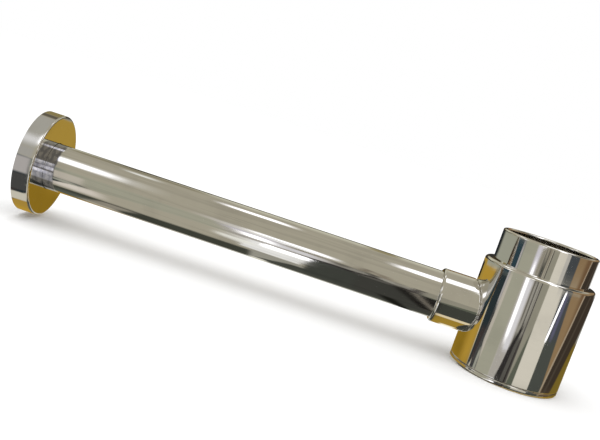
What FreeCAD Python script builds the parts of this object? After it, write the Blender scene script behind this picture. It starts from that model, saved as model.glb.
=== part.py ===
import FreeCAD, Part
import os
import re
import Sketcher

# Sink trap: a polished chrome cup trap with a side outlet, its waste pipe and its wall flange.
# Origin on the bottle's axis at the inlet's sealing face, +Z up, outlet towards -X, millimetres.

doc = FreeCAD.newDocument("sink_trap")

# Driving dimensions: name, value, what it measures.
SIZES = [
    ("outlet_drop", 36.0, "sealing face of the inlet down to the outlet's axis"),
    ("body_rise", 35.4, "outlet's axis up to the shoulder of the body"),
    ("body_fall", 37.2, "outlet's axis down to the underside of the base cap"),
    ("body_wall", 1.5, "wall of the body's tube"),
    ("shoulder_wall", 2.0, "thickness of the body's turned-in shoulder"),
    ("shoulder_round", 2.0, "rounding of the shoulder's outer edge"),
    ("foot_round", 0.8, "rounding of the body's lower edge"),
    ("neck_ring_inset", 3.5, "outside of the body to the outside of the threaded ring under the shoulder"),
    ("neck_ring_wall", 3.9, "wall of that ring, from its outside to its thread"),
    ("neck_seat_width", 3.6, "width of the ledge that the head gasket lies on"),
    ("neck_seat_height", 2.0, "thickness of that ledge"),
    ("base_ring_wall", 3.0, "wall of the threaded ring in the body's foot"),
    ("base_ring_height", 10.0, "height of that ring"),
    ("collar_ledge", 2.4, "outside of the head collar beyond the bore that it screws into"),
    ("collar_wall", 3.0, "wall of the head collar's visible part"),
    ("collar_height", 20.3, "height of the head collar above the shoulder"),
    ("collar_round", 1.3, "rounding of the head collar's rim"),
    ("collar_step", 2.0, "shoulder of the body up to the step inside the collar"),
    ("spigot_wall", 2.4, "wall of the head collar's threaded spigot"),
    ("thread_gap", 0.05, "radial clearance between two screwed pieces"),
    ("head_plate_thickness", 3.0, "thickness of the head plate"),
    ("head_plate_gap", 0.4, "head plate to the bore of the threaded ring"),
    ("head_gasket_thickness", 2.0, "thickness of the head gasket"),
    ("head_gasket_width", 3.0, "width of the head gasket's band"),
    ("dip_tube_radius", 15.0, "outside of the dip tube"),
    ("dip_tube_wall", 1.0, "wall of the dip tube"),
    ("dip_tube_clearance", 7.0, "end of the dip tube above the cup's floor"),
    ("tube_flange_width", 4.2, "width of the dip tube's turned-out rim"),
    ("tube_flange_thickness", 2.0, "thickness of that rim"),
    ("union_washer_thickness", 2.5, "thickness of the union washer"),
    ("slip_ring_thickness", 0.8, "thickness of the slip ring under the rim"),
    ("union_thread_radius", 19.475, "bore of the union nut's 1 1/4 inch pipe thread"),
    ("union_wall", 6.525, "wall of the union nut round its thread"),
    ("union_room", 0.65, "union nut to the bore of the head collar's spigot"),
    ("union_relief_gap", 1.8, "union nut's bore below its thread to the dip tube's rim"),
    ("union_rise", 9.0, "top of the union nut above the sealing face"),
    ("union_lip", 2.5, "thickness of the union nut's lip"),
    ("union_play", 0.2, "axial play of the union nut on the dip tube"),
    ("union_bore_gap", 0.4, "union nut's lip to the dip tube"),
    ("union_gap", 2.0, "union nut's underside above the head plate"),
    ("spanner_slot_width", 5.0, "width of the union nut's spanner slots"),
    ("spanner_slot_depth", 3.0, "depth of the union nut's spanner slots"),
    ("cup_radius", 23.0, "outside of the weir cup"),
    ("cup_wall", 1.5, "wall and floor of the weir cup"),
    ("cup_overflow", 4.2, "rim of the weir cup below the neck ring"),
    ("cap_rim", 3.2, "height of the base cap's visible edge"),
    ("cap_round", 1.5, "rounding of the base cap's lower edge"),
    ("cap_rim_round", 0.6, "rounding of the base cap's upper edge"),
    ("cap_plate", 4.4, "thickness of the base cap's floor"),
    ("cap_spigot_height", 8.0, "height of the base cap's threaded spigot"),
    ("cap_spigot_wall", 3.2, "wall of the base cap's threaded spigot"),
    ("cap_cup_seat", 0.8, "depth of the base cap's recess for the weir cup"),
    ("coin_slot_length", 30.0, "length of the coin slot in the base cap"),
    ("coin_slot_width", 3.5, "width of the coin slot"),
    ("coin_slot_depth", 1.8, "depth of the coin slot"),
    ("pipe_radius", 16.0, "outside of the waste pipe"),
    ("pipe_wall", 1.0, "wall of the waste pipe"),
    ("pipe_length", 299.5, "length of the waste pipe"),
    ("pipe_insertion", 16.0, "length of the pipe inside the outlet socket"),
    ("socket_reach", 59.5, "bottle's axis to the mouth of the outlet socket"),
    ("socket_wall", 2.2, "wall of the outlet socket"),
    ("socket_gap", 0.1, "radial clearance of the pipe in the socket"),
    ("socket_lip", 0.2, "flat left between the socket's bore and its rounded mouth"),
    ("saddle_lip", 0.5, "flat left between the socket's bore and its rounded end against the body"),
    ("socket_groove_depth", 1.4, "depth of the socket's seal grooves below its bore"),
    ("socket_groove_width", 1.8, "width of the socket's seal grooves"),
    ("socket_groove_pitch", 3.6, "distance between the two seal grooves"),
    ("socket_groove_setback", 4.0, "mouth of the socket to the first groove's middle"),
    ("seal_gap", 0.05, "gap left on each side of a round seal ring"),
    ("flange_radius", 35.0, "outside of the wall flange"),
    ("flange_depth", 12.0, "depth of the wall flange"),
    ("flange_plate", 2.0, "thickness of the wall flange's face"),
    ("flange_wall", 2.0, "wall of the wall flange's edge"),
    ("flange_overhang", 0.5, "back of the wall flange beyond the pipe's end"),
    ("flange_bore_gap", 0.3, "radial clearance of the flange on the pipe"),
    ("flange_round", 1.2, "rounding of the wall flange's front edge"),
    ("hub_wall", 3.6, "wall of the flange's hub"),
    ("hub_length", 9.0, "length of the flange's hub"),
    ("hub_groove_depth", 1.7, "depth of the hub's seal groove below its bore"),
    ("hub_groove_width", 2.2, "width of the hub's seal groove"),
    ("hub_groove_setback", 6.0, "face of the flange to the groove's middle"),
    ("base_groove_depth", 1.7, "depth of the base cap's seal groove"),
    ("base_groove_width", 2.2, "width of the base cap's seal groove"),
    ("base_groove_rise", 2.4, "cap's edge up to the middle of its seal groove"),
]

# Places worked out from the driving dimensions: heights from the sealing face,
# lengths from the bottle's axis.
PLACES = [
    ("sealing_face", "0"),
    ("bottle_axis", "0"),
    ("shoulder", "body_rise - outlet_drop"),
    ("base_bottom", "-outlet_drop - body_fall"),
    ("body_bottom", "base_bottom + cap_rim"),
    ("collar_top", "shoulder + collar_height"),
    ("tube_flange_top", "sealing_face - union_washer_thickness"),
    ("tube_flange_bottom", "tube_flange_top - tube_flange_thickness"),
    ("slip_ring_bottom", "tube_flange_bottom - slip_ring_thickness"),
    ("union_lip_top", "slip_ring_bottom - union_play"),
    ("union_bottom", "union_lip_top - union_lip"),
    ("plate_top", "union_bottom - union_gap"),
    ("plate_bottom", "plate_top - head_plate_thickness"),
    ("seat_top", "plate_bottom - head_gasket_thickness"),
    ("neck_bottom", "seat_top - neck_seat_height"),
    ("cup_rim", "neck_bottom - cup_overflow"),
    ("cap_floor", "base_bottom + cap_plate"),
    ("cup_bottom", "cap_floor - cap_cup_seat"),
    ("cup_floor", "cup_bottom + cup_wall"),
    ("dip_tube_end", "cup_floor + dip_tube_clearance"),
    ("union_radius", "union_thread_radius + union_wall"),
    ("collar_spigot_radius", "union_radius + union_room + spigot_wall"),
    ("neck_thread_radius", "collar_spigot_radius + thread_gap"),
    ("collar_radius", "neck_thread_radius + collar_ledge"),
    ("neck_seat_radius", "neck_thread_radius - neck_seat_width"),
    ("neck_ring_radius", "neck_thread_radius + neck_ring_wall"),
    ("body_radius", "neck_ring_radius + neck_ring_inset"),
    ("base_ring_radius", "body_radius - body_wall - base_ring_wall"),
    ("cap_spigot_radius", "base_ring_radius - thread_gap"),
    ("cap_spigot_top", "body_bottom + cap_spigot_height"),
    ("base_groove", "body_bottom + base_groove_rise"),
    ("base_groove_radius", "cap_spigot_radius - base_groove_depth"),
    ("tube_flange_radius", "dip_tube_radius + tube_flange_width"),
    ("union_relief_radius", "tube_flange_radius + union_relief_gap"),
    ("socket_bore", "pipe_radius + socket_gap"),
    ("socket_radius", "socket_bore + socket_wall"),
    ("socket_round", "socket_wall - socket_lip"),
    ("saddle_round", "socket_wall - saddle_lip"),
    ("socket_groove_radius", "socket_bore + socket_groove_depth"),
    ("pipe_start", "-socket_reach + pipe_insertion"),
    ("pipe_end", "pipe_start - pipe_length"),
    ("flange_back", "pipe_end - flange_overhang"),
    ("flange_face", "flange_back + flange_depth"),
    ("hub_bore", "pipe_radius + flange_bore_gap"),
    ("hub_back", "flange_face - hub_length"),
    ("hub_groove", "flange_face - hub_groove_setback"),
    ("hub_groove_radius", "hub_bore + hub_groove_depth"),
]

home = {name: "Sizes" for name, value, meaning in SIZES}
home.update({name: "Places" for name, formula in PLACES})


def linked(text):
    """The text with each size's or place's name given as its cell."""
    return re.sub(r"[a-z][a-z_]+", lambda word: home[word.group()] + "." + word.group(), text)


def amount(text):
    """The present value of an expression of sizes and places."""
    def number(word):
        sheet = doc.getObject(home[word.group()])
        return f"({getattr(sheet, word.group())})"

    return float(FreeCAD.Units.Quantity(re.sub(r"[a-z][a-z_]+", number, text)).Value)


sizes = doc.addObject("Spreadsheet::Sheet", "Sizes")
for row, (name, value, meaning) in enumerate(SIZES, start=1):
    sizes.set(f"A{row}", meaning)
    sizes.set(f"B{row}", str(value))
    sizes.setAlias(f"B{row}", name)
doc.recompute()

places = doc.addObject("Spreadsheet::Sheet", "Places")
for row, (name, formula) in enumerate(PLACES, start=1):
    places.set(f"A{row}", name.replace("_", " "))
    places.setAlias(f"B{row}", name)
for row, (name, formula) in enumerate(PLACES, start=1):
    own = re.sub(r"\bPlaces\.", "", linked(formula))
    places.set(f"B{row}", "=" + own)
doc.recompute()


def plane(body, role):
    """One of a body's own origin planes."""
    return next(feature for feature in body.Origin.OriginFeatures if feature.Role == role)


def new_sketch(body, name, role):
    """An empty sketch on one of a body's origin planes."""
    sketch = body.newObject("Sketcher::SketchObject", name)
    sketch.AttachmentSupport = (plane(body, role), [""])
    sketch.MapMode = "FlatFace"
    return sketch


def place_point(sketch, line, across, along):
    """Tie the start of a sketch's line to expressions for its two coordinates."""
    for kind, text in (("DistanceX", across), ("DistanceY", along)):
        index = sketch.addConstraint(Sketcher.Constraint(kind, -1, 1, line, 1, amount(text)))
        sketch.setExpression(f"Constraints[{index}]", linked(text))


def closed_outline(sketch, points):
    """Straight lines from point to point, each point tied to its expressions."""
    corners = [FreeCAD.Vector(amount(across), amount(along), 0) for across, along in points]
    for line, corner in enumerate(corners):
        following = corners[(line + 1) % len(corners)]
        sketch.addGeometry(Part.LineSegment(corner, following), False)
    for line in range(len(corners)):
        sketch.addConstraint(Sketcher.Constraint("Coincident", line, 2, (line + 1) % len(corners), 1))
    for line, (across, along) in enumerate(points):
        place_point(sketch, line, across, along)


def turned(name, points):
    """A body turned about the bottle's axis, from points of radius and height."""
    body = doc.addObject("PartDesign::Body", name)
    sketch = new_sketch(body, name + "_outline", "XZ_Plane")
    closed_outline(sketch, points)
    turning = body.newObject("PartDesign::Revolution", name + "_turning")
    turning.Profile = sketch
    turning.ReferenceAxis = (sketch, ["V_Axis"])
    turning.Angle = 360
    body.Tip = turning
    doc.recompute()
    return body


def turned_across(name, points):
    """A body turned about the outlet's axis, from points of length and radius."""
    body = doc.addObject("PartDesign::Body", name)
    sketch = new_sketch(body, name + "_outline", "XZ_Plane")
    closed_outline(sketch, points)
    turning = body.newObject("PartDesign::Revolution", name + "_turning")
    turning.Profile = sketch
    turning.ReferenceAxis = (sketch, ["H_Axis"])
    turning.Angle = 360
    body.Tip = turning
    body.setExpression(".Placement.Base.z", linked("-outlet_drop"))
    doc.recompute()
    return body


def rim(radius, place):
    """A test for the circular edge of a turned body with the given radius and place along its axis."""
    def test(edge):
        if not isinstance(edge.Curve, Part.Circle):
            return False
        centre = edge.Curve.Center
        same_radius = abs(edge.Curve.Radius - amount(radius)) < 1e-4
        same_place = abs(centre.x + centre.z - amount(place)) < 1e-4
        return same_radius and same_place
    return test


def rounded(body, radius, *tests):
    """Round the edges of a body that pass any of the tests."""
    feature = body.Tip
    numbered = enumerate(feature.Shape.Edges, start=1)
    names = [f"Edge{number}" for number, edge in numbered if any(test(edge) for test in tests)]
    fillet = body.newObject("PartDesign::Fillet", f"{body.Name}_{radius}")
    fillet.Base = (feature, names)
    fillet.setExpression("Radius", linked(radius))
    body.Tip = fillet
    doc.recompute()


def seal_ring(name, centre_radius, section_radius):
    """A round rubber ring, lying flat about the bottle's axis."""
    ring = doc.addObject("Part::Torus", name)
    ring.setExpression("Radius1", linked(centre_radius))
    ring.setExpression("Radius2", linked(section_radius))
    return ring


def seal_ring_across(name, along, centre_radius, section_radius):
    """A round rubber ring about the outlet's axis."""
    ring = seal_ring(name, centre_radius, section_radius)
    ring.Placement = FreeCAD.Placement(FreeCAD.Vector(), FreeCAD.Rotation(FreeCAD.Vector(0, 1, 0), 90))
    ring.setExpression(".Placement.Base.x", linked(along))
    ring.setExpression(".Placement.Base.z", linked("-outlet_drop"))
    return ring


# Body: a drawn tube with a turned-in shoulder and a hole for the outlet.
trap_body = turned("trap_body", [
    ("body_radius", "body_bottom"),
    ("body_radius", "shoulder"),
    ("neck_thread_radius", "shoulder"),
    ("neck_thread_radius", "shoulder - shoulder_wall"),
    ("body_radius - body_wall", "shoulder - shoulder_wall"),
    ("body_radius - body_wall", "body_bottom"),
])
outlet_sketch = new_sketch(trap_body, "outlet_circle", "YZ_Plane")
outlet_centre = FreeCAD.Vector(0, amount("-outlet_drop"), 0)
outlet_radius = amount("pipe_radius - pipe_wall")
outlet_sketch.addGeometry(Part.Circle(outlet_centre, FreeCAD.Vector(0, 0, 1), outlet_radius), False)
outlet_sketch.addConstraint(Sketcher.Constraint("PointOnObject", 0, 3, -2))
height_rule = outlet_sketch.addConstraint(Sketcher.Constraint("DistanceY", -1, 1, 0, 3, outlet_centre.y))
outlet_sketch.setExpression(f"Constraints[{height_rule}]", linked("-outlet_drop"))
radius_rule = outlet_sketch.addConstraint(Sketcher.Constraint("Radius", 0, outlet_radius))
outlet_sketch.setExpression(f"Constraints[{radius_rule}]", linked("pipe_radius - pipe_wall"))
outlet_hole = trap_body.newObject("PartDesign::Pocket", "outlet_hole")
outlet_hole.Profile = outlet_sketch
outlet_hole.Type = 1
trap_body.Tip = outlet_hole
doc.recompute()
rounded(trap_body, "shoulder_round", rim("body_radius", "shoulder"))
rounded(trap_body, "foot_round", rim("body_radius", "body_bottom"))

# Threaded ring brazed under the shoulder: the head collar screws into it, and its ledge carries the gasket.
neck_ring = turned("neck_ring", [
    ("neck_ring_radius", "neck_bottom"),
    ("neck_ring_radius", "shoulder - shoulder_wall"),
    ("neck_thread_radius", "shoulder - shoulder_wall"),
    ("neck_thread_radius", "seat_top"),
    ("neck_seat_radius", "seat_top"),
    ("neck_seat_radius", "neck_bottom"),
])

# Threaded ring brazed into the body's foot for the base cap.
base_ring = turned("base_ring", [
    ("body_radius - body_wall", "body_bottom"),
    ("body_radius - body_wall", "body_bottom + base_ring_height"),
    ("base_ring_radius", "body_bottom + base_ring_height"),
    ("base_ring_radius", "body_bottom"),
])

# Outlet socket: a turned sleeve with two seal grooves, its end cut to the body's round and brazed to it.
groove_near = "-socket_reach + socket_groove_setback"
groove_far = groove_near + " + socket_groove_pitch"
half_groove = "socket_groove_width / 2"
outlet_socket = turned_across("outlet_socket", [
    ("-socket_reach", "socket_bore"),
    ("-socket_reach", "socket_radius"),
    ("-pipe_radius", "socket_radius"),
    ("-pipe_radius", "socket_bore"),
    (f"{groove_far} + {half_groove}", "socket_bore"),
    (f"{groove_far} + {half_groove}", "socket_groove_radius"),
    (f"{groove_far} - {half_groove}", "socket_groove_radius"),
    (f"{groove_far} - {half_groove}", "socket_bore"),
    (f"{groove_near} + {half_groove}", "socket_bore"),
    (f"{groove_near} + {half_groove}", "socket_groove_radius"),
    (f"{groove_near} - {half_groove}", "socket_groove_radius"),
    (f"{groove_near} - {half_groove}", "socket_bore"),
])
saddle_sketch = new_sketch(outlet_socket, "saddle_circle", "XY_Plane")
saddle_circle = Part.Circle(FreeCAD.Vector(), FreeCAD.Vector(0, 0, 1), amount("body_radius"))
saddle_sketch.addGeometry(saddle_circle, False)
saddle_sketch.addConstraint(Sketcher.Constraint("Coincident", 0, 3, -1, 1))
saddle_rule = saddle_sketch.addConstraint(Sketcher.Constraint("Radius", 0, amount("body_radius")))
saddle_sketch.setExpression(f"Constraints[{saddle_rule}]", linked("body_radius"))
saddle = outlet_socket.newObject("PartDesign::Pocket", "saddle")
saddle.Profile = saddle_sketch
saddle.Type = 1
saddle.Midplane = True
outlet_socket.Tip = saddle
doc.recompute()
rounded(outlet_socket, "socket_round", rim("socket_radius", "-socket_reach"))


def on_saddle(edge):
    """True for the outer edge where the socket's outside meets the body's round."""
    middle = edge.valueAt((edge.FirstParameter + edge.LastParameter) / 2)
    from_outlet_axis = (middle.y ** 2 + middle.z ** 2) ** 0.5
    from_bottle_axis = (middle.x ** 2 + middle.y ** 2) ** 0.5
    return (
        abs(from_outlet_axis - amount("socket_radius")) < 1e-3
        and abs(from_bottle_axis - amount("body_radius")) < 1e-3
    )


rounded(outlet_socket, "saddle_round", on_saddle)

# Two rubber rings in the socket seal the pipe.
outlet_rings = []
for name, along in (("outlet_seal_outer", groove_near), ("outlet_seal_inner", groove_far)):
    ring = seal_ring_across(
        name, along,
        "(pipe_radius + socket_groove_radius) / 2",
        "(socket_groove_radius - pipe_radius) / 2 - seal_gap",
    )
    outlet_rings.append(ring)

# Head collar: smooth sleeve with a threaded spigot, which screws into the neck and hides the union nut.
head_collar = turned("head_collar", [
    ("collar_radius", "shoulder"),
    ("collar_radius", "collar_top"),
    ("collar_radius - collar_wall", "collar_top"),
    ("collar_radius - collar_wall", "shoulder + collar_step"),
    ("collar_spigot_radius - spigot_wall", "shoulder + collar_step"),
    ("collar_spigot_radius - spigot_wall", "plate_top"),
    ("collar_spigot_radius", "plate_top"),
    ("collar_spigot_radius", "shoulder"),
])
rounded(
    head_collar, "collar_round",
    rim("collar_radius", "collar_top"),
    rim("collar_radius - collar_wall", "collar_top"),
)

# Head plate and its gasket close the body round the dip tube.
head_plate = turned("head_plate", [
    ("dip_tube_radius", "plate_bottom"),
    ("neck_thread_radius - head_plate_gap", "plate_bottom"),
    ("neck_thread_radius - head_plate_gap", "plate_top"),
    ("dip_tube_radius", "plate_top"),
])
head_gasket = turned("head_gasket", [
    ("neck_thread_radius - head_plate_gap - head_gasket_width", "seat_top"),
    ("neck_thread_radius - head_plate_gap", "seat_top"),
    ("neck_thread_radius - head_plate_gap", "plate_bottom"),
    ("neck_thread_radius - head_plate_gap - head_gasket_width", "plate_bottom"),
])

# Dip tube: brazed into the head plate, its rim turned out to carry the union nut.
dip_tube = turned("dip_tube", [
    ("dip_tube_radius - dip_tube_wall", "dip_tube_end"),
    ("dip_tube_radius", "dip_tube_end"),
    ("dip_tube_radius", "tube_flange_bottom"),
    ("tube_flange_radius", "tube_flange_bottom"),
    ("tube_flange_radius", "tube_flange_top"),
    ("dip_tube_radius - dip_tube_wall", "tube_flange_top"),
])

# Union: rubber washer on the rim, slip ring under it, and a nut with spanner slots.
union_washer = turned("union_washer", [
    ("dip_tube_radius - dip_tube_wall", "tube_flange_top"),
    ("tube_flange_radius", "tube_flange_top"),
    ("tube_flange_radius", "sealing_face"),
    ("dip_tube_radius - dip_tube_wall", "sealing_face"),
])
slip_ring = turned("slip_ring", [
    ("dip_tube_radius + union_bore_gap", "slip_ring_bottom"),
    ("tube_flange_radius", "slip_ring_bottom"),
    ("tube_flange_radius", "tube_flange_bottom"),
    ("dip_tube_radius + union_bore_gap", "tube_flange_bottom"),
])
union_nut = turned("union_nut", [
    ("dip_tube_radius + union_bore_gap", "union_bottom"),
    ("union_radius", "union_bottom"),
    ("union_radius", "union_rise"),
    ("union_thread_radius", "union_rise"),
    ("union_thread_radius", "sealing_face"),
    ("union_relief_radius", "sealing_face"),
    ("union_relief_radius", "union_lip_top"),
    ("dip_tube_radius + union_bore_gap", "union_lip_top"),
])
slot_sketch = new_sketch(union_nut, "spanner_slot_outline", "XZ_Plane")
closed_outline(slot_sketch, [
    ("-spanner_slot_width / 2", "union_rise - spanner_slot_depth"),
    ("spanner_slot_width / 2", "union_rise - spanner_slot_depth"),
    ("spanner_slot_width / 2", "union_rise + spanner_slot_depth"),
    ("-spanner_slot_width / 2", "union_rise + spanner_slot_depth"),
])
spanner_slot = union_nut.newObject("PartDesign::Pocket", "spanner_slot")
spanner_slot.Profile = slot_sketch
spanner_slot.Type = 1
spanner_slot.Midplane = True
union_nut.Tip = spanner_slot
doc.recompute()
slot_pattern = union_nut.newObject("PartDesign::PolarPattern", "slot_pattern")
slot_pattern.Originals = [spanner_slot]
slot_pattern.Axis = (slot_sketch, ["V_Axis"])
slot_pattern.Angle = 90
slot_pattern.Occurrences = 2
union_nut.Tip = slot_pattern
doc.recompute()

# Weir cup: holds the water seal round the dip tube's end, and spills over its rim to the outlet.
weir_cup = turned("weir_cup", [
    ("bottle_axis", "cup_bottom"),
    ("cup_radius", "cup_bottom"),
    ("cup_radius", "cup_rim"),
    ("cup_radius - cup_wall", "cup_rim"),
    ("cup_radius - cup_wall", "cup_floor"),
    ("bottle_axis", "cup_floor"),
])

# Base cap: unscrews from below to clean the trap, with a coin slot in its underside.
base_cap = turned("base_cap", [
    ("bottle_axis", "base_bottom"),
    ("body_radius", "base_bottom"),
    ("body_radius", "body_bottom"),
    ("cap_spigot_radius", "body_bottom"),
    ("cap_spigot_radius", "base_groove - base_groove_width / 2"),
    ("base_groove_radius", "base_groove - base_groove_width / 2"),
    ("base_groove_radius", "base_groove + base_groove_width / 2"),
    ("cap_spigot_radius", "base_groove + base_groove_width / 2"),
    ("cap_spigot_radius", "cap_spigot_top"),
    ("cap_spigot_radius - cap_spigot_wall", "cap_spigot_top"),
    ("cap_spigot_radius - cap_spigot_wall", "cap_floor"),
    ("cup_radius + thread_gap", "cap_floor"),
    ("cup_radius + thread_gap", "cup_bottom"),
    ("bottle_axis", "cup_bottom"),
])
coin_sketch = new_sketch(base_cap, "coin_slot_outline", "XY_Plane")
coin_sketch.setExpression(".AttachmentOffset.Base.z", linked("base_bottom"))
closed_outline(coin_sketch, [
    ("-coin_slot_length / 2", "-coin_slot_width / 2"),
    ("coin_slot_length / 2", "-coin_slot_width / 2"),
    ("coin_slot_length / 2", "coin_slot_width / 2"),
    ("-coin_slot_length / 2", "coin_slot_width / 2"),
])
coin_slot = base_cap.newObject("PartDesign::Pocket", "coin_slot")
coin_slot.Profile = coin_sketch
coin_slot.setExpression("Length", linked("coin_slot_depth"))
coin_slot.Reversed = True
base_cap.Tip = coin_slot
doc.recompute()
rounded(base_cap, "cap_round", rim("body_radius", "base_bottom"))
rounded(base_cap, "cap_rim_round", rim("body_radius", "body_bottom"))

base_seal = seal_ring(
    "base_seal",
    "(base_ring_radius + base_groove_radius) / 2",
    "(base_ring_radius - base_groove_radius) / 2 - seal_gap",
)
base_seal.setExpression(".Placement.Base.z", linked("base_groove"))

# Waste pipe: straight drawn tube, pushed into the socket.
waste_pipe = turned_across("waste_pipe", [
    ("pipe_end", "pipe_radius - pipe_wall"),
    ("pipe_end", "pipe_radius"),
    ("pipe_start", "pipe_radius"),
    ("pipe_start", "pipe_radius - pipe_wall"),
])

# Wall flange: a shell open at the back, with a hub whose rubber ring grips the pipe.
wall_flange = turned_across("wall_flange", [
    ("flange_face", "hub_bore"),
    ("flange_face", "flange_radius"),
    ("flange_back", "flange_radius"),
    ("flange_back", "flange_radius - flange_wall"),
    ("flange_face - flange_plate", "flange_radius - flange_wall"),
    ("flange_face - flange_plate", "hub_bore + hub_wall"),
    ("hub_back", "hub_bore + hub_wall"),
    ("hub_back", "hub_bore"),
    ("hub_groove - hub_groove_width / 2", "hub_bore"),
    ("hub_groove - hub_groove_width / 2", "hub_groove_radius"),
    ("hub_groove + hub_groove_width / 2", "hub_groove_radius"),
    ("hub_groove + hub_groove_width / 2", "hub_bore"),
])
rounded(wall_flange, "flange_round", rim("flange_radius", "flange_face"))
flange_seal = seal_ring_across(
    "flange_seal", "hub_groove",
    "(pipe_radius + hub_groove_radius) / 2",
    "(hub_groove_radius - pipe_radius) / 2 - seal_gap",
)

doc.recompute()

SUBPARTS = [
    trap_body, neck_ring, base_ring, outlet_socket, *outlet_rings,
    head_collar, head_plate, head_gasket, dip_tube,
    union_washer, slip_ring, union_nut,
    weir_cup, base_cap, base_seal,
    waste_pipe, wall_flange, flange_seal,
]

for item in doc.Objects:
    if "Invalid" in item.State or "Error" in item.State:
        raise RuntimeError(f"{item.Name} failed: {item.State}")
for item in SUBPARTS:
    if item.Shape.isNull() or not item.Shape.isValid() or len(item.Shape.Solids) != 1:
        raise RuntimeError(f"{item.Label} has no single valid solid")

os.makedirs("parts", exist_ok=True)
for item in SUBPARTS:
    item.Shape.exportStep(f"parts/{item.Label}.step")
    print(item.Label, round(item.Shape.Volume, 1))
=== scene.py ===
import math

import bmesh
import bpy
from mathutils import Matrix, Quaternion, Vector


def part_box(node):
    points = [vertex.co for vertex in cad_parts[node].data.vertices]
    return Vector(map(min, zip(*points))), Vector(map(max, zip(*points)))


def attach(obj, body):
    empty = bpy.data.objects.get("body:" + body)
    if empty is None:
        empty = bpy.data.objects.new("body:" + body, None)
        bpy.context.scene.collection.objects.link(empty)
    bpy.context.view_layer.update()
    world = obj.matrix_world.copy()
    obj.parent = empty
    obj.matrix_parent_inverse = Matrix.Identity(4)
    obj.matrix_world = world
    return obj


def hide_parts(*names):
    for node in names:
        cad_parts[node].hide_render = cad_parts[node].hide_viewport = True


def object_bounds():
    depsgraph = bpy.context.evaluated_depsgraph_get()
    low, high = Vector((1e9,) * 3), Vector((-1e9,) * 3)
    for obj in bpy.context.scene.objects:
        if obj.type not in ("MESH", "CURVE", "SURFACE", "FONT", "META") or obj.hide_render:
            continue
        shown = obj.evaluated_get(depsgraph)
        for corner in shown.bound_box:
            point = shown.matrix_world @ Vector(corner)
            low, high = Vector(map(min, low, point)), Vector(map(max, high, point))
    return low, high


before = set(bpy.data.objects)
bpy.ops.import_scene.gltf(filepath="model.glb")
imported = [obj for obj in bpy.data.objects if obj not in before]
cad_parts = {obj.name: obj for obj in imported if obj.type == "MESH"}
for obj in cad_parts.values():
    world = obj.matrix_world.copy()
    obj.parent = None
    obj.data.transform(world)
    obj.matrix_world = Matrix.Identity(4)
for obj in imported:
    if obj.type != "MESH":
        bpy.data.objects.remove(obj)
cad_low, cad_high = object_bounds()


# Trap body: a brass tube, 73 mm across, with its shoulder turned in to the neck and a hole punched
# in its side for the outlet. It is polished to a mirror, nickel plated and then chrome plated.
mm = 0.001
body_low, body_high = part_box("trap_body")
body_radius = body_high.y
body_wall = 1.5 * mm
shoulder_wall = 2.0 * mm
shoulder_round = 2.0 * mm
foot_round = 0.8 * mm
plate_clearance = 0.4 * mm
neck_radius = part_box("head_plate")[1].y + plate_clearance
pipe_low, pipe_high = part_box("waste_pipe")
pipe_radius = (pipe_high.z - pipe_low.z) / 2
pipe_wall = 1.0 * mm
outlet_height = (pipe_high.z + pipe_low.z) / 2
turn_steps = 240
sharp_edge = math.radians(35)
weld_distance = 0.002 * mm


def rounded_outline(corners, arc_steps=8):
    """The points of a closed outline, from corners of radius, place and rounding."""
    points = []
    for number, (radius, place, rounding) in enumerate(corners):
        here = Vector((radius, place))
        if not rounding:
            points.append(here)
            continue
        back = (Vector(corners[number - 1][:2]) - here).normalized()
        ahead = (Vector(corners[(number + 1) % len(corners)][:2]) - here).normalized()
        half = back.angle(ahead) / 2
        centre = here + (back + ahead).normalized() * rounding / math.sin(half)
        first = here + back * rounding / math.tan(half) - centre
        last = here + ahead * rounding / math.tan(half) - centre
        sweep = first.angle(last)
        for step in range(arc_steps + 1):
            share = step / arc_steps
            along = first * math.sin((1 - share) * sweep) + last * math.sin(share * sweep)
            points.append(centre + along / math.sin(sweep))
    return points


def turned(name, outline, steps=turn_steps, across=False):
    """A piece turned about the bottle's axis, or across it about the outlet's axis.
    outline is a list of corners, or a function that gives them for an angle."""
    mesh = bmesh.new()
    rings = []
    for step in range(steps):
        angle = 2 * math.pi * step / steps
        corners = outline(angle) if callable(outline) else outline
        ring = []
        for radius, place in rounded_outline(corners):
            out, side = radius * math.cos(angle), radius * math.sin(angle)
            spot = (place, out, outlet_height + side) if across else (out, side, place)
            ring.append(mesh.verts.new(spot))
        rings.append(ring)
    for step in range(steps):
        this, after = rings[step], rings[(step + 1) % steps]
        for number in range(len(this)):
            ahead = (number + 1) % len(this)
            mesh.faces.new((this[number], after[number], after[ahead], this[ahead]))
    bmesh.ops.remove_doubles(mesh, verts=mesh.verts, dist=1e-7)
    bmesh.ops.recalc_face_normals(mesh, faces=mesh.faces)
    return finished(name, mesh)


def finished(name, mesh):
    """The object of a bmesh, shaded smooth between its sharp edges."""
    data = bpy.data.meshes.new(name)
    mesh.to_mesh(data)
    mesh.free()
    piece = bpy.data.objects.new(name, data)
    bpy.context.scene.collection.objects.link(piece)
    even_shading(piece)
    return piece


def even_shading(piece):
    """Flat faces mirror as flat ones, and their narrow roundings bend the reflection."""
    piece.data.shade_smooth()
    piece.data.set_sharp_from_angle(angle=sharp_edge)
    if "even_normals" not in piece.modifiers:
        piece.modifiers.new("even_normals", "WEIGHTED_NORMAL").keep_sharp = True


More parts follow.
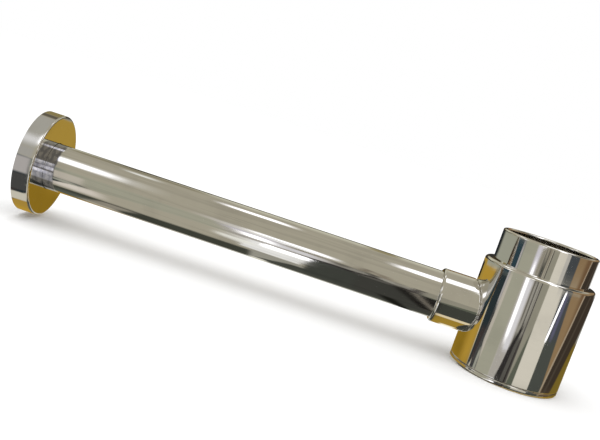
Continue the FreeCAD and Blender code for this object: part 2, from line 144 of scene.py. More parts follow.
def cut_with(piece, cutter):
    """Cut one piece out of another and throw the cutter away. Both are cut with plain shading, as
    the cutter's would stay on the piece. The cut's slivers are welded shut."""
    piece.modifiers.clear()
    cutter.modifiers.clear()
    cut = piece.modifiers.new("cut", "BOOLEAN")
    cut.object = cutter
    cut.solver = "EXACT"
    evaluated = piece.evaluated_get(bpy.context.evaluated_depsgraph_get())
    new_data = bpy.data.meshes.new_from_object(evaluated)
    mesh = bmesh.new()
    mesh.from_mesh(new_data)
    bmesh.ops.remove_doubles(mesh, verts=mesh.verts, dist=weld_distance)
    bmesh.ops.dissolve_degenerate(mesh, edges=mesh.edges, dist=weld_distance)
    mesh.to_mesh(new_data)
    mesh.free()
    piece.modifiers.clear()
    piece.data = new_data
    bpy.data.objects.remove(cutter)
    even_shading(piece)


class Wire:
    """A socket of a finish's node tree. Arithmetic on wires and numbers adds Math nodes."""

    def __init__(self, finish, socket):
        self.finish = finish
        self.socket = socket

    def maths(self, operation, first, second=0.0):
        return self.finish.node("ShaderNodeMath", {"operation": operation}, {0: first, 1: second})

    def __add__(self, other):
        return self.maths("ADD", self, other)

    def __radd__(self, other):
        return self.maths("ADD", other, self)

    def __sub__(self, other):
        return self.maths("SUBTRACT", self, other)

    def __rsub__(self, other):
        return self.maths("SUBTRACT", other, self)

    def __mul__(self, other):
        return self.maths("MULTIPLY", self, other)

    def __rmul__(self, other):
        return self.maths("MULTIPLY", other, self)

    def __truediv__(self, other):
        return self.maths("DIVIDE", self, other)

    def step(self, start, end):
        """A smooth step from 0 at start to 1 at end."""
        ends = {"Value": self, "From Min": start, "From Max": end}
        return self.finish.node("ShaderNodeMapRange", {"interpolation_type": "SMOOTHSTEP"}, ends)


class Finish:
    """A material with one surface shader."""

    def __init__(self, name, shader="ShaderNodeBsdfPrincipled", **constants):
        self.material = bpy.data.materials.new(name)
        self.material.use_nodes = True
        self.tree = self.material.node_tree
        self.tree.nodes.clear()
        self.surface = self.tree.nodes.new(shader)
        output = self.tree.nodes.new("ShaderNodeOutputMaterial")
        self.tree.links.new(self.surface.outputs[0], output.inputs["Surface"])
        for socket, value in constants.items():
            self.surface.inputs[socket.replace("_", " ")].default_value = value

    def node(self, kind, settings, inputs, output=0):
        """A node of that kind. Settings come first, then numbers or wires for its sockets."""
        made = self.tree.nodes.new(kind)
        for setting, value in settings.items():
            setattr(made, setting, value)
        for socket, value in inputs.items():
            if isinstance(value, Wire):
                self.tree.links.new(value.socket, made.inputs[socket])
            elif isinstance(value, tuple) and len(made.inputs[socket].default_value) == 4:
                made.inputs[socket].default_value = (*value, 1.0)
            else:
                made.inputs[socket].default_value = value
        return Wire(self, made.outputs[output])

    def blend(self, share, first, second):
        """A colour that goes from the first to the second by a share."""
        settings = {"data_type": "RGBA"}
        return self.node("ShaderNodeMix", settings, {0: share, 6: first, 7: second}, output=2)

    def place(self, stretch=(1.0, 1.0, 1.0)):
        """The object's own coordinates in metres, scaled along each axis."""
        own = self.node("ShaderNodeTexCoord", {}, {}, output="Object")
        return self.node("ShaderNodeMapping", {}, {"Vector": own, "Scale": stretch})

    def noise(self, size, stretch=(1.0, 1.0, 1.0), detail=2.0):
        """Soft noise whose lumps are about that size in metres."""
        inputs = {"Vector": self.place(stretch), "Scale": 1 / size, "Detail": detail}
        return self.node("ShaderNodeTexNoise", {}, inputs)

    def bump(self, height):
        """Raises the surface by a height in metres."""
        self.feed("Normal", self.node("ShaderNodeBump", {}, {"Height": height, "Distance": 1.0}))

    def feed(self, socket, wire):
        self.tree.links.new(wire.socket, self.surface.inputs[socket])


chrome_colour = (0.80, 0.79, 0.77)
chrome_dulled = (0.60, 0.59, 0.58)
chrome_roughness = 0.03
cloud_size = 22 * mm
cloud_shade = 0.4
scuff_width = 0.5 * mm
streak_width = 1.6 * mm
wave_length = 30 * mm
wave_height = 0.1 * mm
round_the_bottle = (0.12, 0.12, 1.0)


def chrome(name, marks, scuff_depth=0.002 * mm, streak_depth=0.003 * mm, streak_shade=0.05):
    """Polished chrome: faint clouds of handling, fine polishing marks, streaks and a waviness.
    marks stretches the scuffs and streaks along the way that the piece was polished. The finish
    keeps its base colour as plate, for a piece that has more to blend into it."""
    finish = Finish(name, Metallic=1.0)
    clouds = finish.noise(cloud_size, detail=4.0).step(0.45, 0.75)
    scuffs = finish.noise(scuff_width, marks, detail=3.0)
    streaks = finish.noise(streak_width, marks, detail=3.0)
    waves = finish.noise(wave_length, detail=0.0)
    dulled = clouds * cloud_shade + streaks.step(0.48, 0.66) * streak_shade
    finish.plate = finish.blend(dulled, chrome_colour, chrome_dulled)
    finish.feed("Base Color", finish.plate)
    finish.feed("Roughness", chrome_roughness + clouds * 0.03 + scuffs * 0.04)
    finish.bump(scuffs * scuff_depth + streaks * streak_depth + waves * wave_height)
    return finish


turned_chrome = chrome("turned_chrome", round_the_bottle).material
trap_body = turned("polished_body", [
    (body_radius, body_low.z, foot_round),
    (body_radius, body_high.z, shoulder_round),
    (neck_radius, body_high.z, 0),
    (neck_radius, body_high.z - shoulder_wall, 0),
    (body_radius - body_wall, body_high.z - shoulder_wall, 0),
    (body_radius - body_wall, body_low.z, 0),
])
cutter_reach = -1.2 * body_radius
outlet_cutter = turned("outlet_cutter", [
    (0, cutter_reach, 0),
    (pipe_radius - pipe_wall, cutter_reach, 0),
    (pipe_radius - pipe_wall, 0, 0),
    (0, 0, 0),
], steps=96, across=True)
cut_with(trap_body, outlet_cutter)
trap_body.data.materials.clear()
trap_body.data.materials.append(turned_chrome)
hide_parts("trap_body")
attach(trap_body, "body")


# Threaded rings: turned from brass bar and brazed inside the body, one under the shoulder for the
# head collar and one in the foot for the base cap. They are not plated.
brass_colour = (0.76, 0.56, 0.27)
brass_tarnished = (0.52, 0.34, 0.15)
tarnish_size = 9 * mm
tool_mark_width = 0.35 * mm
tool_mark_depth = 0.004 * mm


def brass(name, marks):
    """Machined brass, darker where it has tarnished, with the tool's fine marks."""
    finish = Finish(name, Metallic=1.0)
    tarnish = finish.noise(tarnish_size, detail=5.0).step(0.42, 0.72)
    tool = finish.noise(tool_mark_width, marks, detail=3.0)
    finish.feed("Base Color", finish.blend(tarnish * 0.6, brass_colour, brass_tarnished))
    finish.feed("Roughness", 0.2 + tarnish * 0.18 + tool * 0.12)
    finish.bump(tool * tool_mark_depth)
    return finish.material


def dress(node, material):
    """Give a CAD piece whose shape is right its finish."""
    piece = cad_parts[node]
    piece.data.materials.clear()
    piece.data.materials.append(material)


turned_brass = brass("turned_brass", round_the_bottle)
for node in ("neck_ring", "base_ring"):
    dress(node, turned_brass)


# Outlet socket: a sleeve turned from brass, its end hollowed to the body's round and brazed to it.
# Two grooves in its bore hold the rubber rings. It is polished and plated together with the body.
socket_low, socket_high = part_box("outlet_socket")
socket_radius = (socket_high.z - socket_low.z) / 2
socket_clearance = 0.1 * mm
socket_bore = pipe_radius + socket_clearance
socket_mouth = socket_low.x
socket_round = 2.0 * mm
saddle_round = 1.7 * mm
saddle_easing = 0.5
groove_depth = 1.4 * mm
groove_width = 1.8 * mm
groove_setbacks = (4.0 * mm, 7.6 * mm)
round_the_outlet = (1.0, 0.12, 0.12)


def saddle(radius, angle):
    """Where the socket's end meets the body, at that radius and angle round the outlet."""
    return -math.sqrt(body_radius ** 2 - (radius * math.cos(angle)) ** 2)


def socket_outline(angle):
    """The socket's section at that angle round the outlet."""
    slant = abs(math.cos(angle))
    end_round = saddle_round * (1 - saddle_easing * slant)
    grooves = []
    for setback in reversed(groove_setbacks):
        far = socket_mouth + setback + groove_width / 2
        near = socket_mouth + setback - groove_width / 2
        grooves += [
            (socket_bore, far, 0),
            (socket_bore + groove_depth, far, 0),
            (socket_bore + groove_depth, near, 0),
            (socket_bore, near, 0),
        ]
    return [
        (socket_bore, socket_mouth, 0),
        (socket_radius, socket_mouth, socket_round),
        (socket_radius, saddle(socket_radius, angle), end_round),
        (socket_bore, saddle(socket_bore, angle), 0),
        *grooves,
    ]


outlet_socket = turned("polished_socket", socket_outline, across=True)
outlet_socket.data.materials.append(chrome("socket_chrome", round_the_outlet).material)
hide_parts("outlet_socket")
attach(outlet_socket, "body")


# Rubber rings and washers: moulded black rubber in the socket's grooves, under the head plate, in
# the base cap's groove, in the flange's hub and on the dip tube's rim.
rubber_colour = (0.028, 0.028, 0.03)
rubber_dusty = (0.07, 0.068, 0.064)
dust_size = 4 * mm
rubber_grain_width = 0.25 * mm
rubber_grain_depth = 0.02 * mm
rubber = Finish("black_rubber", Specular_IOR_Level=0.4)
dust = rubber.noise(dust_size, detail=6.0).step(0.5, 0.8)
rubber.feed("Base Color", rubber.blend(dust, rubber_colour, rubber_dusty))
rubber.feed("Roughness", 0.5 + dust * 0.25)
rubber.bump(rubber.noise(rubber_grain_width, detail=4.0) * rubber_grain_depth)
for node in (
    "outlet_seal_outer",
    "outlet_seal_inner",
    "head_gasket",
    "base_seal",
    "flange_seal",
    "union_washer",
):
    dress(node, rubber.material)


# Head plate and dip tube: a brass disc with the inlet tube brazed through it. The tube's rim is
# turned out to carry the union nut, on a nylon slip ring.
for node in ("head_plate", "dip_tube"):
    dress(node, turned_brass)
nylon_colour = (0.86, 0.85, 0.81)
nylon_shaded = (0.78, 0.77, 0.72)
mottle_size = 3 * mm
nylon_grain_width = 0.4 * mm
nylon_grain_depth = 0.008 * mm
nylon = Finish("white_nylon", Subsurface_Weight=0.1, Subsurface_Scale=2 * mm)
mottle = nylon.noise(mottle_size, detail=3.0)
nylon.feed("Base Color", nylon.blend(mottle, nylon_colour, nylon_shaded))
nylon.feed("Roughness", 0.38 + mottle * 0.2)
nylon.bump(nylon.noise(nylon_grain_width, detail=3.0) * nylon_grain_depth)
dress("slip_ring", nylon.material)


# Union nut: turned brass with a thin nickel plate, four slots in its top for a pin spanner.
nickel_colour = (0.74, 0.71, 0.64)
nickel_worn = (0.62, 0.53, 0.38)
wear_size = 5 * mm
nickel_mark_width = 0.4 * mm
nickel_mark_depth = 0.003 * mm
nickel = Finish("nickelled_brass", Metallic=1.0)
nickel_wear = nickel.noise(wear_size, detail=4.0).step(0.5, 0.8)
nickel_marks = nickel.noise(nickel_mark_width, round_the_bottle, detail=3.0)
nickel.feed("Base Color", nickel.blend(nickel_wear * 0.5, nickel_colour, nickel_worn))
nickel.feed("Roughness", 0.16 + nickel_wear * 0.1 + nickel_marks * 0.1)
nickel.bump(nickel_marks * nickel_mark_depth)
dress("union_nut", nickel.material)


# Head collar: a smooth sleeve over the union nut. Its threaded spigot screws into the neck, and its
# rim is rounded inside and out.
collar_low, collar_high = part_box("head_collar")
collar_radius = collar_high.y
collar_wall = 3.0 * mm
collar_round = 1.3 * mm
collar_step = body_high.z + 2.0 * mm
thread_clearance = 0.05 * mm
spigot_radius = neck_radius - thread_clearance
spigot_wall = 2.4 * mm
thread_pitch = 2.0 * mm
thread_depth = 0.7 * mm
thread_rows = 6


def thread(radius, start, end, depth, angle):
    """Corners along a right-hand thread from start to end, with its crests at that radius."""
    rows = round(abs(end - start) / thread_pitch * thread_rows)
    corners = []
    for row in range(1, rows):
        place = start + (end - start) * row / rows
        phase = (place / thread_pitch - angle / (2 * math.pi)) % 1.0
        runout = min(1.0, row / thread_rows, (rows - row) / thread_rows)
        corners.append((radius - depth * runout * (1 - abs(2 * phase - 1)), place, 0))
    return corners


def collar_outline(angle):
    """The collar's section, with its thread at that angle."""
    return [
        (collar_radius, body_high.z, 0),
        (collar_radius, collar_high.z, collar_round),
        (collar_radius - collar_wall, collar_high.z, collar_round),
        (collar_radius - collar_wall, collar_step, 0),
        (spigot_radius - spigot_wall, collar_step, 0),
        (spigot_radius - spigot_wall, collar_low.z, 0),
        (spigot_radius, collar_low.z, 0),
        *thread(spigot_radius, collar_low.z, body_high.z, thread_depth, angle),
        (spigot_radius, body_high.z, 0),
    ]


head_collar = turned("polished_collar", collar_outline)
head_collar.data.materials.append(turned_chrome)
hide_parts("head_collar")
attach(head_collar, "collar")


# Weir cup: pressed brass, resting in the base cap's recess and hidden in the body.
dress("weir_cup", turned_brass)


# Base cap: a turned disc with a threaded spigot, a seal groove and a coin slot in its underside.
# Only its thin edge shows under the body's foot.
cap_low, cap_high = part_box("base_cap")
cap_edge = body_low.z
cap_round = 1.5 * mm
cap_rim_round = 0.6 * mm
base_ring_wall = 3.0 * mm
cap_spigot_radius = body_radius - body_wall - base_ring_wall - thread_clearance
cap_spigot_wall = 3.2 * mm
cap_floor = cap_low.z + 4.4 * mm
cap_seat = cap_floor - 0.8 * mm
cup_clearance = 0.05 * mm
cap_seat_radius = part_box("weir_cup")[1].y + cup_clearance
cap_groove = cap_edge + 2.4 * mm
cap_groove_width = 2.2 * mm
cap_groove_radius = cap_spigot_radius - 1.7 * mm
coin_slot_length = 30.0 * mm
coin_slot_width = 3.5 * mm
coin_slot_depth = 1.8 * mm


def cap_outline(angle):
    """The base cap's section, with its thread at that angle."""
    thread_start = cap_groove + cap_groove_width / 2
    return [
        (0, cap_low.z, 0),
        (body_radius, cap_low.z, cap_round),
        (body_radius, cap_edge, cap_rim_round),
        (cap_spigot_radius, cap_edge, 0),
        (cap_spigot_radius, cap_groove - cap_groove_width / 2, 0),
        (cap_groove_radius, cap_groove - cap_groove_width / 2, 0),
        (cap_groove_radius, thread_start, 0),
        (cap_spigot_radius, thread_start, 0),
        *thread(cap_spigot_radius, thread_start, cap_high.z, thread_depth, angle),
        (cap_spigot_radius, cap_high.z, 0),
        (cap_spigot_radius - cap_spigot_wall, cap_high.z, 0),
        (cap_spigot_radius - cap_spigot_wall, cap_floor, 0),
        (cap_seat_radius, cap_floor, 0),
        (cap_seat_radius, cap_seat, 0),
        (0, cap_seat, 0),
    ]


def block(name, low, high):
    """A plain block between two corners, for cutting with."""
    mesh = bmesh.new()
    bmesh.ops.create_cube(mesh, size=1.0)
    for vertex in mesh.verts:
        for axis in range(3):
            share = vertex.co[axis] + 0.5
            vertex.co[axis] = low[axis] + (high[axis] - low[axis]) * share
    return finished(name, mesh)


base_cap = turned("polished_cap", cap_outline)
coin_cutter = block(
    "coin_cutter",
    (-coin_slot_length / 2, -coin_slot_width / 2, cap_low.z - coin_slot_depth),
    (coin_slot_length / 2, coin_slot_width / 2, cap_low.z + coin_slot_depth),
)
cut_with(base_cap, coin_cutter)
base_cap.data.materials.clear()
base_cap.data.materials.append(turned_chrome)
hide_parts("base_cap")
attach(base_cap, "cap")


# Waste pipe: straight drawn brass tube, 32 mm across, chrome plated over the faint lengthwise marks
# of drawing and polishing. It pushes into the socket. Beside the wall flange a broken dark grey ring
# of painted reflection is blended into its base colour, standing in for the dark reflections there.
pipe_edge_round = 0.3 * mm
lengthwise = (0.02, 1.0, 1.0)
drawn_depth = 0.012 * mm
drawn_streak_depth = 0.03 * mm
drawn_streak_shade = 0.4
# Painted reflection: the dark and grey colours, patch size, width and ragged edges of the ring beside
# the flange.
painted_reflection_dark = (0.25, 0.25, 0.28)
painted_reflection_light = (0.42, 0.41, 0.43)
painted_reflection_patch_size = 4.0 * mm
painted_reflection_width = 8.0 * mm
painted_reflection_raggedness = 3.0 * mm
painted_reflection_edge = 1.0 * mm
waste_pipe = turned("polished_pipe", [
    (pipe_radius - pipe_wall, pipe_low.x, 0),
    (pipe_radius, pipe_low.x, pipe_edge_round),
    (pipe_radius, pipe_high.x, pipe_edge_round),
    (pipe_radius - pipe_wall, pipe_high.x, 0),
], across=True)
pipe_chrome = chrome("drawn_chrome", lengthwise, drawn_depth, drawn_streak_depth, drawn_streak_shade)
pipe_place = pipe_chrome.place()
along_pipe = pipe_chrome.node("ShaderNodeSeparateXYZ", {}, {"Vector": pipe_place}, output="X")
flange_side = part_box("wall_flange")[1].x
# The ring of painted reflection starts at the flange's side with a ragged edge and is blended into
# the base colour.
ragged = pipe_chrome.noise(5 * mm, detail=4.0) * painted_reflection_raggedness
from_flange = along_pipe + ragged - flange_side - painted_reflection_raggedness / 2
past_start = from_flange.step(-painted_reflection_raggedness, painted_reflection_edge - painted_reflection_raggedness)
past_end = from_flange.step(painted_reflection_width - painted_reflection_edge, painted_reflection_width)
patches = pipe_chrome.noise(painted_reflection_patch_size, (2.0, 1.0, 1.0), detail=4.0).step(0.42, 0.6)
painted_reflection_shade = pipe_chrome.blend(patches, painted_reflection_dark, painted_reflection_light)
painted_reflection_ring = past_start * (1 - past_end)
pipe_chrome.feed("Base Color", pipe_chrome.blend(painted_reflection_ring, pipe_chrome.plate, painted_reflection_shade))
waste_pipe.data.materials.append(pipe_chrome.material)
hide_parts("waste_pipe")
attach(waste_pipe, "pipe")


# Wall flange: a cast shell, open at the back, with a hub round the pipe and a rubber ring in the
# hub's groove. Its face is flat and its front edge is rounded.
flange_low, flange_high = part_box("wall_flange")
flange_radius = (flange_high.z - flange_low.z) / 2
flange_back, flange_face = flange_low.x, flange_high.x
flange_wall = 2.0 * mm
flange_plate = 2.0 * mm
flange_round = 1.2 * mm
hub_clearance = 0.3 * mm
hub_bore = pipe_radius + hub_clearance
hub_wall = 3.6 * mm
hub_back = flange_face - 9.0 * mm
hub_groove = flange_face - 6.0 * mm
hub_groove_width = 2.2 * mm
hub_groove_depth = 1.7 * mm
wall_flange = turned("polished_flange", [
    (hub_bore, flange_face, 0),
    (flange_radius, flange_face, flange_round),
    (flange_radius, flange_back, 0),
    (flange_radius - flange_wall, flange_back, 0),
    (flange_radius - flange_wall, flange_face - flange_plate, 0),
    (hub_bore + hub_wall, flange_face - flange_plate, 0),
    (hub_bore + hub_wall, hub_back, 0),
    (hub_bore, hub_back, 0),
    (hub_bore, hub_groove - hub_groove_width / 2, 0),
    (hub_bore + hub_groove_depth, hub_groove - hub_groove_width / 2, 0),
    (hub_bore + hub_groove_depth, hub_groove + hub_groove_width / 2, 0),
    (hub_bore, hub_groove + hub_groove_width / 2, 0),
], across=True)
wall_flange.data.materials.append(chrome("flange_chrome", round_the_outlet).material)
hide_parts("wall_flange")
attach(wall_flange, "flange")


# Floor: a plain white sheet under the trap, with a soft lamp overhead and an even white room.
floor_size = 8.0
floor_mesh = bmesh.new()
bmesh.ops.create_grid(floor_mesh, x_segments=1, y_segments=1, size=floor_size / 2)
floor = finished("floor", floor_mesh)
floor.location.z = cad_low.z
floor_finish = Finish("white_sheet", "ShaderNodeBsdfDiffuse", Color=(1.0, 1.0, 1.0, 1.0))
floor.data.materials.append(floor_finish.material)
floor.visible_glossy = False

lamp_place = Vector((-0.45, -0.35, 1.3))
lamp_data = bpy.data.lights.new("overhead_lamp", "AREA")
lamp_data.shape = "SQUARE"
lamp_data.size = 1.5
lamp_data.energy = 6.0
lamp = bpy.data.objects.new("overhead_lamp", lamp_data)
lamp.location = lamp_place
lamp.rotation_euler = lamp_place.to_track_quat("Z", "Y").to_euler()
lamp.visible_glossy = False
bpy.context.scene.collection.objects.link(lamp)

room = bpy.data.worlds.new("white_room")
room.use_nodes = True
room.node_tree.nodes["Background"].inputs["Color"].default_value = (1.0, 1.0, 1.0, 1.0)
room.node_tree.nodes["Background"].inputs["Strength"].default_value = 1.0
bpy.context.scene.world = room


# Light tent: a shell of glowing cloth panels round the trap, each giving off light of its colour for
# the chrome to mirror.
# It stands in for the room where the trap was photographed: beige walls, windows, a dark doorway,
# amber board beneath.
# Nothing but the mirroring pieces sees it, and its left and right halves have a material each.
tent_radius = 410 * mm
tent_mesh = bmesh.new()
bmesh.ops.create_uvsphere(tent_mesh, u_segments=128, v_segments=64, radius=tent_radius)
left_half, right_half = 0, 1
for face in tent_mesh.faces:
    face.material_index = right_half if face.calc_center_median().x > 0 else left_half
tent = finished("light_tent", tent_mesh)
tent.location.z = outlet_height
tent.visible_camera = False
tent.visible_diffuse = False
tent.visible_transmission = False
tent.visible_shadow = False
degree = math.radians(1)
far_off = 200


def tint(red, green, blue):
    """A colour as it looks on a screen when chrome mirrors it, turned into light."""
    parts = []
    for part in (red, green, blue):
        share = part / 255
        parts.append(share / 12.92 if share <= 0.04045 else ((share + 0.055) / 1.055) ** 2.4)
    return tuple(part / chrome_colour[1] for part in parts)


def inside(wire, low, high, soft):
    """1 between two limits and 0 outside them, with soft edges. A limit may be far off."""
    mask = 1.0
    if low > -far_off:
        mask = wire.step(low - soft, low + soft)
    if high < far_off:
        mask = mask * (1 - wire.step(high - soft, high + soft))
    return mask


def hang(cloth, rows, across, along, pivot, reach):
    """Hang rows of panels over the cloth, where they come within its reach. The edges of a leaning
    panel are given at the pivot."""
    for left, right, soft, foot, head, fade, lean, colour in rows:
        shifts = [lean * (place - pivot) for place in (max(foot, -90), min(head, 90))]
        if left + min(shifts) - soft > reach[1] or right + max(shifts) + soft < reach[0]:
            continue
        slid = across - (along - pivot) * lean if lean else across
        mask = inside(slid, left, right, soft) * inside(along, foot, head, fade)
        cloth = cloth.finish.blend(mask, cloth, tint(*colour))
    return cloth


# Each row is a panel: its two edges across and their softness, its foot, its head and their softness,
# all in degrees, how many degrees its edges lean for each degree along, and its colour on a screen.
# A panel hangs over those before it. A window is brighter than a screen's white.
window = (330, 330, 335)
beige = (159, 154, 138)
# What the pipe mirrors. Across: the angle from the pipe's line, where 0 is at the wall flange. Along:
# the angle round that line, where 0 is in front and 90 above.
pipe_cloths = [
    # Behind the pipe, above and below it.
    (-far_off, far_off, 1, 134, far_off, 14, 0, (186, 184, 166)),
    (-far_off, far_off, 1, -far_off, -140, 10, 0, (182, 182, 174)),
    (-far_off, far_off, 1, 160, far_off, 8, 0, (92, 88, 66)),
    (22, 48, 4, 126, 148, 7, 0, (132, 126, 106)),
    (77, 82, 1.5, 132, far_off, 6, 0, (142, 134, 104)),
    # Dark board under the pipe, and lighter things on it.
    (-far_off, 92, 0.5, -134, -80, 5, 0, (60, 62, 54)),
    (15, 29, 2, -150, -96, 12, 0, (82, 86, 78)),
    (42.5, 49, 1.5, -122, -86, 5, 0.13, (136, 131, 119)),
    (28, 34, 1.5, -far_off, -116, 6, 0, (154, 149, 134)),
    (58, 67.5, 0.8, -128, -70, 3, 0, (148, 146, 136)),
    (81.5, 110, 1, -134, -84, 3, 0.19, (66, 68, 62)),
    (58, 61, 0.8, -far_off, -124, 6, 0, (205, 203, 190)),
    # The doorway beside the socket, with its frames.
    (67.6, 78, 0.3, -112, 2, 2, 0, (60, 62, 57)),
    (76, 91, 0.8, -112, -5, 3, 0, (58, 58, 54)),
    (75, 78, 1, -150, -86, 6, -0.065, (26, 26, 22)),
    (81.2, 83.2, 0.8, -84, -16, 5, -0.08, (28, 26, 24)),
    (88, 91.5, 1, -64, -12, 4, 0, (26, 23, 21)),
    (84, 85.2, 0.6, -78, -8, 4, -0.078, (118, 112, 102)),
    (75.5, 77.5, 0.8, 3, 17, 2, 0.1, (112, 104, 92)),
    (80, 83, 1, 1, 14, 3, -0.1, (128, 120, 106)),
    # Bright patches low down and overhead.
    (22, 31, 2.5, -72, -44, 7, 0, (205, 198, 188)),
    (12, 36, 8, 40, 66, 9, 0, (205, 203, 196)),
    (12, 31, 6, 43, 61, 7, 0, window),
    (34, 39, 2, 106, 118, 4, 0, (228, 228, 222)),
    (52, 63, 3, 99, 110, 4, 0, window),
    (83, 120, 3, 72, 89, 5, 0, window),
    # The windows in front of the pipe's middle.
    (50, 64, 5, 5, 17, 5, 0, (190, 186, 180)),
    (57, 71.5, 2.5, 8, 18, 4, 0, window),
    (54, 66, 4, -56, 14, 5, 0, (214, 212, 206)),
    (58.5, 69.4, 0.25, -68, 12, 3, 0.04, (226, 226, 224)),
    (61, 69.4, 0.25, -36, 4, 6, 0.04, window),
    (52, 58, 1.5, -49, -37, 3, 0, (228, 228, 220)),
]
# What only the flange's rim or the outlet socket mirrors, by the same angles.
end_cloths = [
    (-far_off, 21.8, 0.3, -128, -84, 4, 0, (160, 130, 58)),
    (-far_off, 21.8, 0.3, -far_off, -130, 6, 0, (225, 215, 190)),
    (-far_off, 21.8, 0.3, 30, 112, 4, 0, (158, 156, 148)),
    (-far_off, 21.8, 0.3, 42, 52, 12, 0, (226, 226, 228)),
    (-far_off, 21.8, 0.3, 116, 130, 3, 0, (92, 86, 74)),
    (-far_off, 21.8, 0.3, 130, 176, 4, 0, (128, 116, 76)),
    (90.4, far_off, 0.2, -68, -12, 2, 0, (60, 62, 56)),
    (90.4, far_off, 0.2, -80, -68, 1.5, 0, (215, 200, 165)),
    (90.4, far_off, 0.2, -far_off, -80, 2, 0, (152, 124, 48)),
    (92, 94.5, 0.5, -far_off, -128, 5, 0, (238, 232, 210)),
]
# What the flange's rim mirrors over the bottle's cloths, and the pipe beside it, by the same angles.
rim_cloths = [
    (18, 21.8, 0.3, 12, 30, 4, 0, (156, 154, 148)),
    (18, 21.8, 0.3, -21, 10, 3, 0, (164, 160, 158)),
    (18, 21.8, 0.3, -58, -24, 2, 0, (66, 66, 65)),
    (18, 21.8, 0.3, -86, -65, 2, 0, (190, 186, 172)),
    (22.1, 28, 0.3, -36, -4, 3, 0, (178, 172, 160)),
]
# What the body and the collar mirror. Across: the angle round the bottle, where 0 is in front and 90
# to the right. Along: the angle upwards.
bottle_cloths = [
    # To the left, from behind: amber board low down, and a dark doorway.
    (-152, -38, 8, -2, 4, 0.4, 0, (148, 149, 135)),
    (-far_off, -148, 9, -0.9, 5, 0.2, 0, (34, 38, 40)),
    (-90, -68, 3, -2, 4, 0.4, 0, (42, 60, 68)),
    (-far_off, -96, 3, -19, -2, 0.4, 0, (168, 135, 52)),
    (-far_off, -143, 2, -6, -1, 0.15, 0, (158, 130, 56)),
    (-far_off, -115, 14, -19, -11, 3, 0, (132, 104, 30)),
    (-far_off, -156.5, 1.5, -5, -1.9, 0.4, 0, (44, 38, 28)),
    (-102, -89, 3, -9, -2, 1, 1.5, (88, 86, 74)),
    (-93, -90.5, 1, -17.5, -7, 1, -0.2, (205, 196, 170)),
    (-89.5, -67.5, 1.5, -19, -2, 0.3, 0, (38, 47, 50)),
    (-86, -75, 1, -17.3, -11, 0.7, 0, (58, 52, 50)),
    (-74, -69, 1.2, -19, -14.3, 0.6, 0, (150, 150, 138)),
    # In front, to the left: a wall and a bright window.
    (-66, -38, 2.5, -19, 5, 0.8, 0, (154, 153, 137)),
    (-38, -18, 1.5, -19, 4, 0.3, 0, (164, 160, 153)),
    (-30, -20.5, 2.5, -13, -1.2, 0.4, 0, (206, 205, 208)),
    (-25, -18, 2, -1.2, 4, 0.4, 0, (136, 131, 118)),
    (-37, -28, 2.5, -1, 4, 0.5, 0, (196, 193, 200)),
    (-34.3, -29.5, 2.6, -11, 0.2, 2.2, 0, window),
    # In front: dark bars, one of them leaning.
    (-18, -2.6, 0.6, -19, -10, 1, 0, (84, 82, 77)),
    (-18, -2.6, 0.6, -10, -1.2, 1, 0, (146, 143, 134)),
    (-18, -15.6, 0.5, -8, 4, 1, 0, (104, 100, 92)),
    (-12, -10, 0.5, -10, 4, 0.4, 0, (82, 79, 74)),
    (-7, -6, 0.4, -10, 4, 0.4, 0, (120, 116, 106)),
    (-1.6, 3.2, 0.8, -18, -8.3, 0.6, 1.6, (40, 38, 37)),
    (-13.6, -5.4, 1, -19, -12, 1, 0.64, (46, 44, 43)),
    (-2.1, 0.4, 0.6, -19, -10.5, 1.5, 0.4, (40, 38, 34)),
    (-23, -17, 0.8, -19, -17, 0.6, 0, (74, 72, 68)),
    (-2.6, 9.4, 0.6, -19, 4, 0.3, 0, (138, 135, 121)),
    (-4.4, -2.6, 0.4, -19, 4, 0.3, 0.1, (66, 62, 60)),
    # In front, to the right: a cream wall, then a dark door with a bright gap.
    (16, 60, 1.2, -19, -8, 0.5, 1.15, (86, 90, 78)),
    (9.4, 41.3, 0.8, -19, 24, 3, 0, (201, 196, 183)),
    (27.5, 35.8, 1.5, -1.6, 24, 2, 0, (178, 175, 168)),
    (36, 60, 0.8, -2, 30, 4, 0, (66, 70, 73)),
    (38.7, 74, 0.8, -9.2, -2, 0.3, 0, (68, 71, 74)),
    (41.3, 74, 0.8, -19, -9.2, 0.3, 0, (70, 73, 68)),
    (47, 53, 2, -9, -2, 1, 0, (90, 90, 110)),
    (43.8, 47.2, 0.7, -9.4, -1.8, 0.4, 0.65, window),
    # To the right and on behind: brown wood, then pale and amber board.
    (58.7, far_off, 1.2, -19, -2, 0.3, -0.8, (135, 112, 82)),
    (58.7, far_off, 1.2, -2, 30, 5, 0, (135, 112, 82)),
    (81, 98, 7, -19, 14, 3, 0, (108, 84, 60)),
    (92.5, far_off, 1.6, -19, 14, 3, 1.35, (56, 48, 40)),
    (89.5, 93, 1.2, -19, 14, 3, 1.35, (160, 145, 124)),
    (111, 116, 2.5, -19, 8, 2, 2, (72, 64, 54)),
    (138, far_off, 8, -1.6, 5, 0.8, 0, (225, 224, 220)),
    (152, far_off, 6, -9.5, -2, 0.8, 2.9, (150, 148, 140)),
    (145, far_off, 4, -19, -9.5, 0.8, 2.9, (112, 94, 38)),
    (149, far_off, 5, -19, -11.5, 1.5, 0, (170, 158, 116)),
    # Above: dark behind the shoulder, and what its rounding and the collar's mirror.
    (150, far_off, 3, 5.5, 16, 1, 0, (46, 44, 40)),
    (-far_off, -177, 3, 5.5, 16, 1, 0, (46, 44, 40)),
    (-far_off, -118, 6, 4.6, 18, 0.8, 0, (60, 52, 36)),
    (14, 30, 2, 34, 66, 4, 0, window),
    (38, 130, 4, 40, 58, 5, 0, (66, 64, 60)),
]
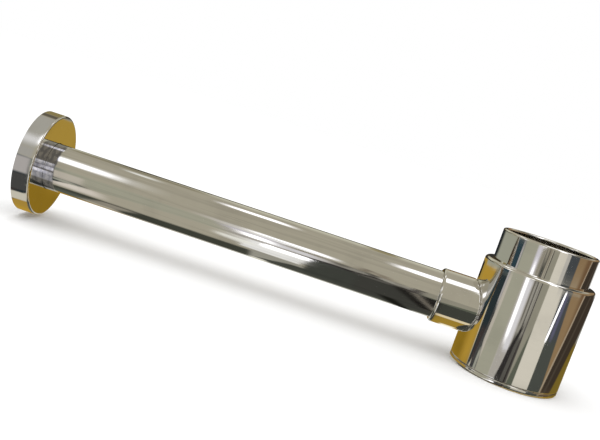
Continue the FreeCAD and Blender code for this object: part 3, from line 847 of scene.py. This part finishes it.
# The bottle's leaning cloths have their edges given where the top of the body mirrors them. Each half
# of the tent has its own material, because one with every cloth in it is too large to render, and
# takes only the cloths within its reach by turn and by spread.
shoulder_rise = -2
halves = (
    ("left", (-180, 0), (0, 90)),
    ("right", (0, 180), (90, 180)),
)
for half, turn_reach, spread_reach in halves:
    tent_finish = Finish(f"tent_cloth_{half}", "ShaderNodeEmission")
    tent_finish.material.cycles.emission_sampling = "NONE"
    own_place = {"Vector": tent_finish.node("ShaderNodeTexCoord", {}, {}, output="Object")}
    tent_x = tent_finish.node("ShaderNodeSeparateXYZ", {}, own_place, output="X")
    tent_y = tent_finish.node("ShaderNodeSeparateXYZ", {}, own_place, output="Y")
    tent_z = tent_finish.node("ShaderNodeSeparateXYZ", {}, own_place, output="Z")
    turn = tent_x.maths("ARCTAN2", tent_x, 0 - tent_y) / degree
    rise = tent_z.maths("ARCSINE", tent_z / tent_radius) / degree
    spread = tent_x.maths("ARCCOSINE", 0 - tent_x / tent_radius) / degree
    clock = tent_z.maths("ARCTAN2", tent_z, 0 - tent_y) / degree
    cloth = tent_finish.blend(0.0, tint(*beige), tint(*beige))
    cloth = hang(cloth, pipe_cloths, spread, clock, 0, spread_reach)
    cloth = hang(cloth, end_cloths, spread, clock, 0, spread_reach)
    cloth = hang(cloth, bottle_cloths, turn, rise, shoulder_rise, turn_reach)
    cloth = hang(cloth, rim_cloths, spread, clock, 0, spread_reach)
    tent_finish.feed("Color", cloth)
    tent.data.materials.append(tent_finish.material)


# Camera: as the photograph was taken, half a metre off, looking slightly down and tilted.
view_turn = -2.763
view_dip = -9.508
view_roll = 17.985
view_place = (-135.14 * mm, -515.08 * mm, 55.21 * mm)
picture_width = 600
focal_length = 780.8 / picture_width
camera_data = bpy.data.cameras.new("camera")
camera_data.sensor_width = 36.0
camera_data.lens = camera_data.sensor_width * focal_length
camera_data.shift_x = 5.8 / picture_width
camera_data.shift_y = 19.0 / picture_width
camera_data.clip_start = 10 * mm
camera = bpy.data.objects.new("camera", camera_data)
camera.location = view_place
level = math.cos(math.radians(view_dip))
look = Vector((
    level * math.sin(math.radians(view_turn)),
    level * math.cos(math.radians(view_turn)),
    math.sin(math.radians(view_dip)),
))
roll = Quaternion((0, 0, 1), math.radians(view_roll))
camera.rotation_mode = "QUATERNION"
camera.rotation_quaternion = look.to_track_quat("-Z", "Y") @ roll
bpy.context.scene.collection.objects.link(camera)
bpy.context.scene.camera = camera
bpy.context.scene.view_settings.view_transform = "Standard"
